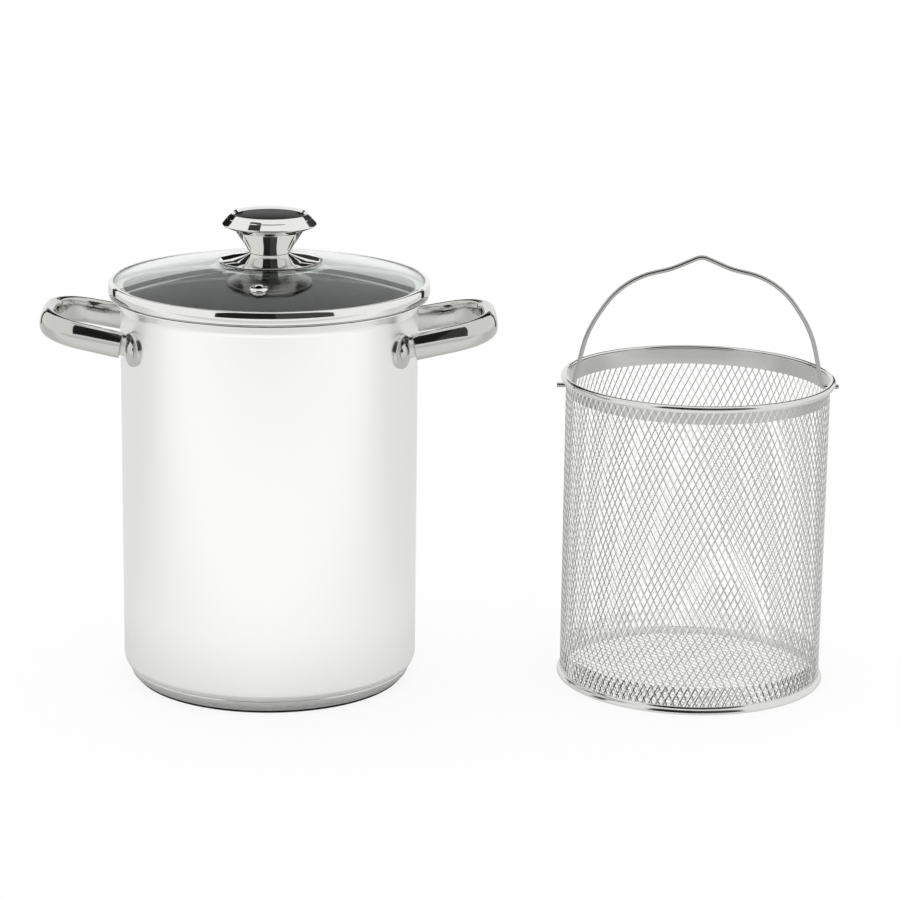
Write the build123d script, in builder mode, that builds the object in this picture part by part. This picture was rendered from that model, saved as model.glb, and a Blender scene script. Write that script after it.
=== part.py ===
from build123d import *
from math import atan, cos, degrees, hypot, pi, radians, sin, tan
import os

os.makedirs("parts", exist_ok=True)

# An asparagus pot: a tall steel pot with two riveted loop handles and a glass lid,
# and its lifting basket, which stands beside it on the table.
# Lengths are millimetres. The origin is the centre of the pot's foot on the table, +Z is up,
# and +X points from the pot to the basket.

# Driving dimensions of the pot
body_radius = 81.0  # outside of the straight wall, a nominal 16 cm pot
body_wall = 0.8
rim_height = 216.0  # top of the pot's lip above the table
body_corner_radius = 8.0  # between the pot's floor and its wall
flare_height = 5.4  # the pouring flare, from the straight wall up to the lip
flare_reach = 4.2
lip_width = 1.6  # the flat lip beyond the flare

# Sandwich base under the pot's floor
core_thickness = 5.4
cap_wall = 0.6
seam_inset = 1.7  # from the wall in to the cap's edge
foot_inset = 6.0  # from the cap's edge in to the flat that stands on the table
seam_height = 9.0
cap_bend_height_share = 0.45  # of the seam's height
cap_bend_radius_share = 0.72  # of the way from the foot to the seam
core_gap = 0.05  # bond line round the core

# Loop handles
handle_inset = 2.7  # from the wall's radius in to the closed ends of the arms
handle_drop = 22.2  # from the rim down to the centre of the arms at that end
handle_rise = 11.4  # degrees that the loop climbs outwards
handle_reach = 42.5  # from the arms' end to the middle of the bow, along the loop
handle_span = 34.5  # from the middle of the loop to the centre of each arm
handle_section_width = 8.0
handle_section_height = 14.4
handle_bow_shares = ((0, 1), (0.724, 0.913), (1, 0.478))  # shares of the reach and of the span
handle_section_shares = ((1, 0.5), (0.6, 1))  # shares of half the height and of half the width
shoulder_bend_radius = 22.0
bow_bend_radius = 26.0
tab_thickness = 2.8  # the arm's inner wall, which runs on to the pot
tab_height = 11.6
ear_radius = 9.2  # round ear that lies on the pot
ear_thickness = 1.6
ear_gap = 0.05  # fit between an ear and the pot

# Rivets through the ears
rivet_angle = 27.5  # degrees to each side of the handle's middle
rivet_drop = 24.0  # from the rim down to the rivets
rivet_shank_radius = 2.5
rivet_head_radius = 4.5
rivet_crown_radius = 2.6
rivet_head_height = 2.2
rivet_tail_radius = 3.8
rivet_tail_height = 1.2
rivet_fit = 0.05

# Glass lid
band_overhang = 0.5  # how far the steel band round the glass stands out beyond the lip
band_height = 7.5
band_wall = 0.5
band_grip = 2.7  # how far the band folds over the glass
ledge_height = 2.4  # the folded ledge under the glass
skirt_depth = 4.5  # the skirt that centres the lid in the pot
skirt_wall = 0.6
skirt_clearance = 1.0
glass_thickness = 4.0
glass_rise = 11.4  # from the glass's edge to its crown
glass_edge_gap = 0.3
glass_seat_radius = 12.0  # flat crown under the knob
glass_chords = 3

# Steam vent: a flared steel eyelet in front of the knob
vent_distance = 57.0  # from the lid's axis
vent_azimuth = -93.9
vent_bore_radius = 2.0
vent_barrel_radius = 3.4
vent_flange_radius = 4.85
vent_flange_edge = 0.4
vent_flange_height = 1.4
vent_crown_radius = 2.8
vent_tail_radius = 4.4
vent_tail_height = 0.8
vent_fit = 0.15

# Knob
seal_thickness = 0.6  # silicone washers above and under the glass
seal_radius = 10.0
saucer_radius = 27.4
saucer_thickness = 0.6
trumpet_height = 3.8  # from the glass's washer to the waist
trumpet_foot_radius = 17.5
trumpet_bend_radius = 12.8
trumpet_bend_share = 0.4  # height of the bend between saucer and waist
waist_radius = 10.7
neck_top_radius = 18.6
neck_height = 11.3
cap_radius = 25.9
cap_underside_rise = 3.4
cap_bevel_height = 5.3
cap_bevel_radius = 22.2
cap_crown_height = 1.9
inlay_radius = 19.0
inlay_thickness = 1.0
inlay_rim = 1.2  # flat metal ring round the inlay
inlay_fit = 0.05

# Knob screw, from under the glass
screw_radius = 2.5
screw_fit = 0.1
glass_hole_margin = 0.6  # wider hole in the glass, so that the screw never bears on it
screw_depth = 6.0  # into the knob above its waist
screw_head_radius = 5.0
screw_head_height = 2.5
washer_radius = 9.0
washer_thickness = 1.0

# Lifting basket
basket_gap = 39.0  # between the end of the handle's loop and the basket's rings
basket_rim_height = 171.8
basket_clearance = 5.0  # between the basket's rings and the pot's wall, when it hangs inside
ring_width = 4.4
rim_ring_height = 3.6
foot_ring_height = 4.0
foot_ring_inset = 1.0  # how much slimmer the foot ring is than the rim ring
ring_chamfer = 1.1
rim_band_wall = 0.6
rim_band_height = 9.5
rim_band_drop = 0.8  # the ring stands this far above the band
ring_fit = 0.05

# Expanded mesh: diamonds between zigzag strands
mesh_gap = 0.4  # between the rim's solid band and the middle of a strand's inner side
mesh_thickness = 0.8
mesh_strand_width = 1.1
mesh_strands = 28  # a multiple of four keeps an open diamond at each pivot
mesh_half_rows = 11  # an odd number puts that diamond at the height of the pivot
mesh_bond_height = 2.4  # flat edge where two strands meet
mesh_bond_gap = 0.03
floor_mesh_height = 1.6  # underside of the floor mesh above the table
floor_mesh_margin = 1.5  # plain rim round the floor's diamonds

# Bail
bail_wire_radius = 1.25
bail_pivot_drop = 6.3  # from the basket's rim down to the pivots
bail_foot_inset = 2.3  # from the rim band in to each foot
bail_pin_overhang = 2.3  # how far each pin stands out beyond the rings
bail_height = 72.4  # from the pivots to where the two crown slopes would meet
bail_shares = ((0.899, 0.428), (0.619, 0.82), (0.241, 0.9))  # shares of the foot and the height
bail_foot_radius = 1.9
bail_side_radius = 60.0
bail_shoulder_radius = 44.0
bail_dip_radius = 40.0
bail_crown_radius = 8.0
bail_pin_fit = 0.1
overrun = 2.0  # cuts run this far past what they cut

# Round pieces stand on regular polygons, which keeps every face flat
round_sides = 60
small_round_sides = 24
rivet_sides = 12
ear_sides = 20
wire_sides = 6

# Levels and radii that follow from the sizes above
seam_radius = body_radius - seam_inset
foot_radius = seam_radius - foot_inset
handle_end = body_radius - handle_inset
handle_height = rim_height - handle_drop
rivet_height = rim_height - rivet_drop
floor_height = cap_wall + core_thickness
body_inner_radius = body_radius - body_wall
flare_radius = body_radius + flare_reach
lip_radius = flare_radius + lip_width
lip_underside = rim_height - body_wall
flare_start = lip_underside - flare_height
band_radius = lip_radius + band_overhang
band_back_radius = band_radius - band_wall
band_top = rim_height + band_height
skirt_radius = body_inner_radius - skirt_clearance
skirt_inner_radius = skirt_radius - skirt_wall
skirt_bottom = rim_height - skirt_depth
ledge_top = rim_height + ledge_height
glass_radius = band_back_radius - glass_edge_gap
glass_edge_top = ledge_top + glass_thickness
glass_crown = glass_edge_top + glass_rise
glass_under_crown = glass_crown - glass_thickness
knob_seat = glass_crown + seal_thickness
saucer_top = knob_seat + saucer_thickness
waist_height = knob_seat + trumpet_height
neck_top = waist_height + neck_height
cap_edge = neck_top + cap_underside_rise
cap_bevel_top = cap_edge + cap_bevel_height
knob_top = cap_bevel_top + cap_crown_height
bore_radius = screw_radius + screw_fit
washer_top = glass_under_crown - seal_thickness
screw_seat = washer_top - washer_thickness
screw_tip = waist_height + screw_depth
ring_outer_radius = body_inner_radius - basket_clearance
rim_band_radius = ring_outer_radius - ring_width
mesh_radius = rim_band_radius + mesh_gap
bail_foot = rim_band_radius - bail_foot_inset
bail_pin_reach = ring_outer_radius + bail_pin_overhang
basket_x = handle_end + handle_reach + basket_gap + ring_outer_radius
rim_ring_bottom = basket_rim_height - rim_ring_height
rim_band_top = basket_rim_height - rim_band_drop
rim_band_bottom = rim_band_top - rim_band_height
rim_ring_inner = rim_band_radius + ring_fit
foot_ring_inner = mesh_radius - ring_fit
foot_ring_radius = ring_outer_radius - foot_ring_inset
pivot_height = basket_rim_height - bail_pivot_drop


def frustum(wide, narrow, height, sides):
    """A drafted prism on a regular polygon, its wide end on the plane."""
    draft = degrees(atan((wide - narrow) * cos(pi / sides) / height))
    with BuildPart() as step:
        with BuildSketch():
            RegularPolygon(wide, sides, rotation=180 / sides)
        extrude(amount=height, taper=draft)
    return step.part


def turned(points, sides=round_sides):
    """A round piece with flat sides: one step from each radius and height to the next."""
    steps = []
    for ends in zip(points, points[1:]):
        (wide, start), (narrow, end) = sorted(ends, reverse=True)
        place = Location((0, 0, start), (0 if end > start else 180, 0, 0))
        steps.append(place * frustum(wide, narrow, abs(end - start), sides))
    return steps


def drum(radius, bottom, top, sides=round_sides):
    """A straight round piece with flat sides."""
    return turned([(radius, bottom), (radius, top)], sides)


def corner_chords(wall_radius, bottom, radius, chords=2):
    """Points of a quarter bend from a floor up into a wall."""
    turns = [radians(90 * step / chords) for step in range(chords + 1)]
    middle = wall_radius - radius
    return [(middle + radius * sin(turn), bottom + radius - radius * cos(turn)) for turn in turns]


def radial_plane(azimuth, radius, height):
    """A plane on the pot's wall that faces outwards, with its x direction up."""
    out = Vector(cos(radians(azimuth)), sin(radians(azimuth)), 0)
    return Plane(origin=(out.X * radius, out.Y * radius, height), x_dir=(0, 0, 1), z_dir=out)


def glass_top(radius):
    """Height of the glass's upper side, a shallow dome outside its flat seat."""
    fall = (radius**2 - glass_seat_radius**2) / (glass_radius**2 - glass_seat_radius**2)
    return glass_crown - glass_rise * fall


# Pot body: a drawn shell with a rounded bottom corner, a pouring flare and a flat lip
rivet_azimuths = [side + turn for side in (0, 180) for turn in (-rivet_angle, rivet_angle)]
rivet_planes = [radial_plane(azimuth, body_radius, rivet_height) for azimuth in rivet_azimuths]
flare_turn = atan(flare_reach / flare_height)
flare_inner_start = flare_start + body_wall * tan(flare_turn / 2)
flare_inner_radius = flare_radius - body_wall * tan(radians(90) / 2 - flare_turn / 2)
body_corner = corner_chords(body_radius, floor_height, body_corner_radius)
inner_corner = corner_chords(body_inner_radius, floor_height + body_wall, body_corner_radius - body_wall)
flare_end = (flare_inner_radius + overrun * tan(flare_turn), rim_height + overrun)
with BuildPart() as pot_body:
    add(turned([*body_corner, (body_radius, flare_start), (flare_radius, lip_underside)]))
    add(drum(lip_radius, lip_underside, rim_height))
    add(turned([*inner_corner, (body_inner_radius, flare_inner_start), flare_end]), mode=Mode.SUBTRACT)
    with Locations(*rivet_planes):
        add(drum(rivet_shank_radius + rivet_fit, -overrun, overrun, rivet_sides), mode=Mode.SUBTRACT)
pot_body.part.label = "pot_body"
export_step(pot_body.part, "parts/pot_body.step")

# Base cap: a shallow steel cup that closes the base, its edge cut to the body's corner
cap_bend_radius = foot_radius + (seam_radius - foot_radius) * cap_bend_radius_share
cap_bend_height = seam_height * cap_bend_height_share
cap_points = [(foot_radius, 0), (cap_bend_radius, cap_bend_height), (seam_radius, seam_height)]
cap_inside = [(foot_radius - cap_wall, cap_wall)]
cap_inside += [(radius - cap_wall, height) for radius, height in cap_points[1:]]
body_shape = turned([*body_corner, (body_radius, flare_start)])
with BuildPart() as base_cap:
    add(turned(cap_points))
    add(turned(cap_inside), mode=Mode.SUBTRACT)
    add(body_shape, mode=Mode.SUBTRACT)
base_cap.part.label = "base_cap"
export_step(base_cap.part, "parts/base_cap.step")

# Aluminium core: it fills the space between the cap and the body, less a thin bond line
with BuildPart() as base_core:
    add(turned([(radius - core_gap, height) for radius, height in cap_inside]))
    add(body_shape, mode=Mode.SUBTRACT)
base_core.part.label = "base_core"
export_step(base_core.part, "parts/base_core.step")

# Handles: a closed loop of oval section, two tabs that run on to the pot, and two riveted ears
loop_plane = Plane(
    (handle_end, 0, handle_height),
    x_dir=(cos(radians(handle_rise)), 0, sin(radians(handle_rise))),
    z_dir=(-sin(radians(handle_rise)), 0, cos(radians(handle_rise))),
)
bow_points = [(handle_reach * along, handle_span * across) for along, across in handle_bow_shares]
bow_points += [(along, -across) for along, across in reversed(bow_points)]
bow_radii = [shoulder_bend_radius, bow_bend_radius]
half_width = handle_section_width / 2
half_height = handle_section_height / 2
corner = [(half_height * tall, half_width * wide) for tall, wide in handle_section_shares]
upper = corner + [(-tall, wide) for tall, wide in reversed(corner)]
oval = upper + [(-tall, -wide) for tall, wide in upper]
tab_inside = handle_span - half_width
tab_length = handle_end - body_radius * cos(radians(rivet_angle)) + overrun
tab_offset = tab_inside + tab_thickness / 2
tab_centres = [(overrun - tab_length / 2, offset) for offset in (tab_offset, -tab_offset)]
ear_bottom = rivet_height - ear_radius
ear_top = rivet_height + ear_radius
with BuildPart() as handle_right:
    with Locations(*rivet_planes[:2]):
        add(drum(ear_radius, -ear_radius, ear_radius, ear_sides))
    add(drum(body_radius + ear_thickness, ear_bottom - overrun, ear_top + overrun), mode=Mode.INTERSECT)
    with BuildLine(loop_plane) as bow:
        FilletPolyline(*bow_points, radius=bow_radii + bow_radii[::-1])
    with BuildSketch(Plane(bow.line @ 0, x_dir=loop_plane.z_dir, z_dir=bow.line % 0)):
        Polygon(*oval, align=None)
    sweep(path=bow.line)
    with BuildSketch(loop_plane.offset(-tab_height / 2)):
        with Locations(*tab_centres):
            Rectangle(tab_length, tab_thickness)
    extrude(amount=tab_height)
    add(drum(body_radius + ear_gap, ear_bottom - overrun, ear_top + overrun), mode=Mode.SUBTRACT)
    with Locations(*rivet_planes[:2]):
        add(drum(rivet_shank_radius + rivet_fit, -overrun, overrun, rivet_sides), mode=Mode.SUBTRACT)
handle_right.part.label = "handle_right"
export_step(handle_right.part, "parts/handle_right.step")
with BuildPart() as handle_left:
    mirror(handle_right.part, about=Plane.YZ)
handle_left.part.label = "handle_left"
export_step(handle_left.part, "parts/handle_left.step")

# Rivets: domed heads on the ears, and tails spread against the inside of the wall
rivet_seat = ear_gap + ear_thickness
wall_fall = body_inner_radius * (1 - cos(pi / round_sides)) + rivet_tail_radius**2 / (2 * body_inner_radius)
tail_seat = -body_wall - wall_fall - rivet_fit
tail_end = tail_seat - rivet_tail_height
rivet_top = rivet_seat + rivet_head_height
with BuildPart() as handle_rivets:
    with Locations(*rivet_planes):
        add(drum(rivet_shank_radius, tail_seat, rivet_seat, rivet_sides))
        add(turned([(rivet_head_radius, rivet_seat), (rivet_crown_radius, rivet_top)], rivet_sides))
        add(turned([(rivet_shank_radius, tail_end), (rivet_tail_radius, tail_seat)], rivet_sides))
handle_rivets.part.label = "handle_rivets"
export_step(handle_rivets.part, "parts/handle_rivets.step")

# Lid band: folded over the glass, with a ledge under it and a skirt inside the pot
with BuildPart() as lid_band:
    add(drum(band_radius, rim_height, band_top))
    add(drum(skirt_radius, skirt_bottom, rim_height))
    add(drum(band_back_radius, ledge_top, band_top - band_wall), mode=Mode.SUBTRACT)
    add(drum(band_radius - band_grip, ledge_top, band_top + overrun), mode=Mode.SUBTRACT)
    add(drum(skirt_inner_radius, skirt_bottom - overrun, band_top), mode=Mode.SUBTRACT)
lid_band.part.label = "lid_band"
export_step(lid_band.part, "parts/lid_band.step")

# Lid glass: a shallow dome of one thickness, with holes for the knob's screw and the vent
dome_run = (glass_radius - glass_seat_radius) / glass_chords
dome_radii = [glass_radius - dome_run * chord for chord in range(glass_chords + 1)]
dome = [(radius, glass_top(radius)) for radius in dome_radii]
dome_under = [(radius, height - glass_thickness) for radius, height in dome]
vent_chord = int((glass_radius - vent_distance) // dome_run)
(outer_radius, outer_top), (inner_radius, inner_top) = dome[vent_chord], dome[vent_chord + 1]
vent_slope = (outer_top - inner_top) / dome_run
vent_top = inner_top + vent_slope * (vent_distance - inner_radius)
vent_out = Vector(cos(radians(vent_azimuth)), sin(radians(vent_azimuth)), 0)
vent_plane = Plane(
    origin=vent_out * vent_distance + Vector(0, 0, vent_top),
    x_dir=vent_out + Vector(0, 0, vent_slope),
    z_dir=Vector(0, 0, 1) - vent_out * vent_slope,
)
vent_hole = drum(vent_barrel_radius + vent_fit, -glass_thickness - overrun, overrun, small_round_sides)
screw_hole_radius = bore_radius + glass_hole_margin
with BuildPart() as lid_glass:
    add(turned([(glass_radius, ledge_top), *dome]))
    add(turned(dome_under), mode=Mode.SUBTRACT)
    add(drum(screw_hole_radius, ledge_top, glass_crown + overrun, small_round_sides), mode=Mode.SUBTRACT)
    with Locations(vent_plane):
        add(vent_hole, mode=Mode.SUBTRACT)
lid_glass.part.label = "lid_glass"
export_step(lid_glass.part, "parts/lid_glass.step")

# Steam vent: an eyelet set square to the glass, its tail spread under it
vent_tail_seat = -glass_thickness - vent_fit
vent_tail_end = vent_tail_seat - vent_tail_height
vent_flange = [(vent_flange_radius, 0), (vent_flange_radius, vent_flange_edge)]
vent_flange += [(vent_crown_radius, vent_flange_height)]
vent_tail = [(vent_barrel_radius, vent_tail_end), (vent_tail_radius, vent_tail_seat)]
vent_bore_bottom = vent_tail_end - overrun
vent_bore_top = vent_flange_height + overrun
with BuildPart() as steam_vent:
    with Locations(vent_plane):
        add(drum(vent_barrel_radius, vent_tail_seat, 0, small_round_sides))
        add(turned(vent_flange, small_round_sides))
        add(turned(vent_tail, small_round_sides))
        add(drum(vent_bore_radius, vent_bore_bottom, vent_bore_top, small_round_sides), mode=Mode.SUBTRACT)
steam_vent.part.label = "steam_vent"
export_step(steam_vent.part, "parts/steam_vent.step")

# Silicone washers on both sides of the glass, and the steel washer under them
for name, bottom, radius, thickness in (
    ("upper_seal", glass_crown, seal_radius, seal_thickness),
    ("lower_seal", washer_top, seal_radius, seal_thickness),
    ("knob_washer", screw_seat, washer_radius, washer_thickness),
):
    with BuildPart() as ring:
        add(drum(radius, bottom, bottom + thickness, small_round_sides))
        add(drum(bore_radius, bottom - overrun, bottom + overrun, small_round_sides), mode=Mode.SUBTRACT)
    ring.part.label = name
    export_step(ring.part, f"parts/{name}.step")

# Knob base: a wide saucer that draws in like a trumpet to the waist
trumpet_bend_height = saucer_top + (waist_height - saucer_top) * trumpet_bend_share
trumpet = [(trumpet_foot_radius, saucer_top), (trumpet_bend_radius, trumpet_bend_height)]
trumpet += [(waist_radius, waist_height)]
knob_bore = drum(bore_radius, knob_seat - overrun, screw_tip, small_round_sides)
with BuildPart() as knob_base:
    add(drum(saucer_radius, knob_seat, saucer_top))
    add(turned(trumpet))
    add(knob_bore, mode=Mode.SUBTRACT)
knob_base.part.label = "knob_base"
export_step(knob_base.part, "parts/knob_base.step")

# Knob grip: a conical neck under a bevelled cap, bored from below for the screw
recess_radius = inlay_radius + inlay_fit
recess_floor = knob_top - inlay_thickness
grip = [
    (waist_radius, waist_height),
    (neck_top_radius, neck_top),
    (cap_radius, cap_edge),
    (cap_bevel_radius, cap_bevel_top),
    (recess_radius + inlay_rim, knob_top),
]
with BuildPart() as knob_grip:
    add(turned(grip))
    add(drum(recess_radius, recess_floor, knob_top + overrun), mode=Mode.SUBTRACT)
    add(knob_bore, mode=Mode.SUBTRACT)
knob_grip.part.label = "knob_grip"
export_step(knob_grip.part, "parts/knob_grip.step")

# Inlay: the dark disc let into the top of the knob
with BuildPart() as knob_inlay:
    add(drum(inlay_radius, recess_floor, knob_top))
knob_inlay.part.label = "knob_inlay"
export_step(knob_inlay.part, "parts/knob_inlay.step")

# Knob screw: its head bears on the steel washer and its shank ends in the neck
with BuildPart() as knob_screw:
    add(drum(screw_head_radius, screw_seat - screw_head_height, screw_seat, small_round_sides))
    add(drum(screw_radius, screw_seat, screw_tip, small_round_sides))
knob_screw.part.label = "knob_screw"
export_step(knob_screw.part, "parts/knob_screw.step")

# Basket rings: rolled steel at the rim and at the foot, bevelled on the outside
basket_plane = Plane((basket_x, 0, 0))
for name, bottom, top, inner_radius, outer_radius in (
    ("basket_rim_ring", rim_ring_bottom, basket_rim_height, rim_ring_inner, ring_outer_radius),
    ("basket_foot_ring", 0, foot_ring_height, foot_ring_inner, foot_ring_radius),
):
    bevel_radius = outer_radius - ring_chamfer
    outside = [
        (bevel_radius, bottom),
        (outer_radius, bottom + ring_chamfer),
        (outer_radius, top - ring_chamfer),
        (bevel_radius, top),
    ]
    with BuildPart() as ring:
        with Locations(basket_plane):
            add(turned(outside))
            add(drum(inner_radius, bottom - overrun, top + overrun), mode=Mode.SUBTRACT)
    ring.part.label = name
    export_step(ring.part, f"parts/{name}.step")

# Rim band: the solid strip inside the mesh, with a hole for each pin of the bail
band_inner_radius = rim_band_radius - rim_band_wall
pin_hole_radius = bail_wire_radius + bail_pin_fit
pin_hole = drum(pin_hole_radius, -ring_outer_radius, ring_outer_radius, small_round_sides)
pivot_plane = Plane((basket_x, 0, pivot_height), z_dir=(1, 0, 0))
with BuildPart() as basket_rim_band:
    with Locations(basket_plane):
        add(drum(rim_band_radius, rim_band_bottom, rim_band_top))
        add(drum(band_inner_radius, rim_band_bottom - overrun, rim_band_top + overrun), mode=Mode.SUBTRACT)
    with Locations(pivot_plane):
        add(pin_hole, mode=Mode.SUBTRACT)
basket_rim_band.part.label = "basket_rim_band"
export_step(basket_rim_band.part, "parts/basket_rim_band.step")

# Mesh wall: flat zigzag strands side by side, which meet edge to edge and leave diamonds
strand_angle = 360 / mesh_strands
half_facet = mesh_radius * tan(radians(strand_angle / 2)) - mesh_bond_gap / 2
mesh_height = rim_ring_bottom - foot_ring_height
half_row = mesh_height / mesh_half_rows
bond_half = mesh_bond_height / 2
outer_edge, inner_edge = [], []
for node in range(mesh_half_rows + 1):
    height = half_row * node
    bond = [(half_facet, max(height - bond_half, 0)), (half_facet, min(height + bond_half, mesh_height))]
    crook = [(half_facet - mesh_strand_width, height)]
    outer_edge += bond if node % 2 else [(-x, z) for x, z in crook]
    inner_edge += crook if node % 2 else [(-x, z) for x, z in bond]
strand_outline = outer_edge + inner_edge[::-1]
mirrored_outline = [(-x, z) for x, z in strand_outline]
with BuildPart() as basket_side_mesh:
    for strand in range(mesh_strands):
        facet = radial_plane(strand_angle * (strand + 0.5), mesh_radius, foot_ring_height)
        origin = facet.origin + Vector(basket_x, 0, 0)
        with BuildSketch(Plane(origin, x_dir=-facet.y_dir, z_dir=facet.z_dir)):
            Polygon(*(mirrored_outline if strand % 2 else strand_outline), align=None)
        extrude(amount=mesh_thickness)
basket_side_mesh.part.label = "basket_side_mesh"
export_step(basket_side_mesh.part, "parts/basket_side_mesh.step")

# Floor mesh: a flat net with the same diamonds, held inside the foot ring
floor_radius = foot_ring_inner - ring_fit
cut_half_width = half_facet - mesh_strand_width
cut_half_height = cut_half_width * half_row / half_facet
diamond = [(cut_half_width, 0), (0, cut_half_height), (-cut_half_width, 0), (0, -cut_half_height)]
columns = int(floor_radius / half_facet)
rows = int(floor_radius / half_row)
centres = []
for column in range(-columns, columns + 1):
    for row in range(-rows, rows + 1):
        x, y = column * half_facet, row * half_row
        inside = all(hypot(x + dx, y + dy) < floor_radius - floor_mesh_margin for dx, dy in diamond)
        if (column + row) % 2 == 0 and inside:
            centres.append((x, y))
with BuildPart() as basket_floor_mesh:
    with BuildSketch(basket_plane.offset(floor_mesh_height)):
        RegularPolygon(floor_radius, round_sides, rotation=180 / round_sides)
        with Locations(*centres):
            Polygon(*diamond, align=None, mode=Mode.SUBTRACT)
    extrude(amount=mesh_thickness)
basket_floor_mesh.part.label = "basket_floor_mesh"
export_step(basket_floor_mesh.part, "parts/basket_floor_mesh.step")

# Bail: one bent wire, from the tip of one pin over the crown to the tip of the other
bail_plane = Plane((basket_x, 0, pivot_height), x_dir=(1, 0, 0), z_dir=(0, -1, 0))
bail_half = [(bail_pin_reach, 0), (bail_foot, 0)]
bail_half += [(bail_foot * across, bail_height * up) for across, up in bail_shares]
bail_points = bail_half + [(0, bail_height)] + [(-across, up) for across, up in reversed(bail_half)]
side_radii = [bail_foot_radius, bail_side_radius, bail_shoulder_radius, bail_dip_radius]
with BuildPart() as basket_bail:
    with BuildLine(bail_plane) as wire:
        FilletPolyline(*bail_points, radius=side_radii + [bail_crown_radius] + side_radii[::-1])
    with BuildSketch(Plane(wire.line @ 0, z_dir=wire.line % 0)):
        RegularPolygon(bail_wire_radius, wire_sides)
    sweep(path=wire.line)
basket_bail.part.label = "basket_bail"
export_step(basket_bail.part, "parts/basket_bail.step")
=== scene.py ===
from math import atan2, ceil, cos, hypot, pi, radians, sin, tan

import bmesh
import bpy
from bpy.props import FloatProperty, FloatVectorProperty, IntProperty, PointerProperty
from mathutils import Matrix, Vector


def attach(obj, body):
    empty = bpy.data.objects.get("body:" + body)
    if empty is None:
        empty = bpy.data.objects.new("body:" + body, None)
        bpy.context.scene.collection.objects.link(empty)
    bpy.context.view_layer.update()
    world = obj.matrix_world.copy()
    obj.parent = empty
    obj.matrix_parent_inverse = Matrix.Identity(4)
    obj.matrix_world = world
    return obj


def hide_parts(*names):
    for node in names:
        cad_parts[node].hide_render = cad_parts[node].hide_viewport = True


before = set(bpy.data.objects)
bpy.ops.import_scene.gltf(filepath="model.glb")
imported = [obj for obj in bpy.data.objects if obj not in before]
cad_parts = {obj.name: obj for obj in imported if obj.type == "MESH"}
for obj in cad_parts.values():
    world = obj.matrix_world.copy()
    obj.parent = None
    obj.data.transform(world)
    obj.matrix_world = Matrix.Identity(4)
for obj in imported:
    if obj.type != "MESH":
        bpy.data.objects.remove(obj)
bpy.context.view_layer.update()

bl_info = {
    "name": "Asparagus Pot",
    "version": (1, 0, 0),
    "blender": (4, 5, 0),
    "location": "View3D > Sidebar > Asparagus Pot",
    "description": "Tall steel pot with a glass lid and its mesh lifting basket",
    "category": "Add Mesh",
}

MM = 0.001  # the sizes below are millimetres, the scene is in metres
UP = Vector((0, 0, 1))
UPRIGHT = Matrix.Rotation(pi / 2, 4, "X")  # stands what is drawn in the XY plane up, facing the camera

WALL_RADIUS = 81  # outside of the pot's wall
EAR_HEIGHT = 192  # middle of the handles' ears and of the rivets
EAR_AZIMUTH = 27.5  # degrees from a handle's middle to its ears
GLASS_CROWN = 233.8  # top of the glass, under the knob
GLASS_FLAT = 28  # radius of the glass's flat middle
VENT_REACH = 57  # from the lid's axis to the steam vent
BASKET_AXIS = Vector((235, 0, 0)) * MM  # the basket stands to the right of the pot
MESH_HEIGHT = 165.6  # from the foot ring to the rim strip
STRAND_OVERLAP = 1.06  # a strand is this much longer than its run, so that the knees close
BEND_STEPS = 16  # steps in a right-angled bend of a bar

# The dark cards of the stage: name, middle, width and height, colour
CARDS = (
    # Two wide ones over the camera
    ("card_front_left", (-595, -1900, 2400), (1590, 4400), "#0A0A0A"),
    ("card_front_right", (1125, -1900, 2400), (1850, 4400), "#3A3A3A"),
    # Two beyond the table, with a bright gap between them
    ("card_back", (20, 1600, 1598), (2700, 1364), "#0A0A0A"),
    ("card_back_low", (20, 1600, 818), (2700, 117), "#0A0A0A"),
    # A narrow one out to each side
    ("card_left", (-500, 520, 250), (110, 300), "#161616"),
    ("card_right", (500, 520, 250), (110, 300), "#161616"),
    # Small ones behind the knob
    ("card_knob_left", (-49, 30, 273), (38, 35), "#0A0A0A"),
    ("card_knob_right", (49, 30, 273), (38, 35), "#3C3C3C"),
    ("card_wing_left", (-21, 24.5, 239.3), (16, 6.5), "#0A0A0A"),
    ("card_wing_right", (21, 24.5, 239.3), (16, 6.5), "#4A4A4A"),
)


def linear(hex_colour):
    """Turns an sRGB hex colour into the linear values that shaders take."""
    values = [int(hex_colour[i:i + 2], 16) / 255 for i in (1, 3, 5)]
    return tuple(v / 12.92 if v <= 0.04045 else ((v + 0.055) / 1.055) ** 2.4 for v in values)


# Sizes and colours that a user would change


class PotSettings(bpy.types.PropertyGroup):
    round_steps: IntProperty(
        name="Round Steps", description="Steps in a full turn of the large round pieces", default=160, min=24)
    handle_power: FloatProperty(
        name="Handle Fullness", description="How square the oval section of the handles is", default=2.25, min=2)
    glass_thickness: FloatProperty(
        name="Glass Thickness", description="Thickness of the lid's glass", default=4 * MM, unit="LENGTH")
    steel_colour: FloatVectorProperty(
        name="Steel", description="Colour of the satin wall", subtype="COLOR", default=linear("#FAFAF9"))
    inlay_colour: FloatVectorProperty(
        name="Inlay", description="Colour of the knob's inlay", subtype="COLOR", default=linear("#1C1D1F"))


class BasketSettings(bpy.types.PropertyGroup):
    columns: IntProperty(
        name="Columns", description="Diamonds round the mesh, an even number", default=110, min=20)
    rows: IntProperty(name="Rows", description="Diamonds from the foot to the rim", default=20, min=4)
    strand_width: FloatProperty(
        name="Strand Width", description="Width of one strand of the mesh", default=0.5 * MM, unit="LENGTH")
    strand_depth: FloatProperty(
        name="Strand Depth", description="Thickness of the sheet", default=0.34 * MM, unit="LENGTH")
    mesh_colour: FloatVectorProperty(
        name="Mesh", description="Colour of the expanded sheet", subtype="COLOR", default=linear("#F4F4F2"))


# Materials


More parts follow.
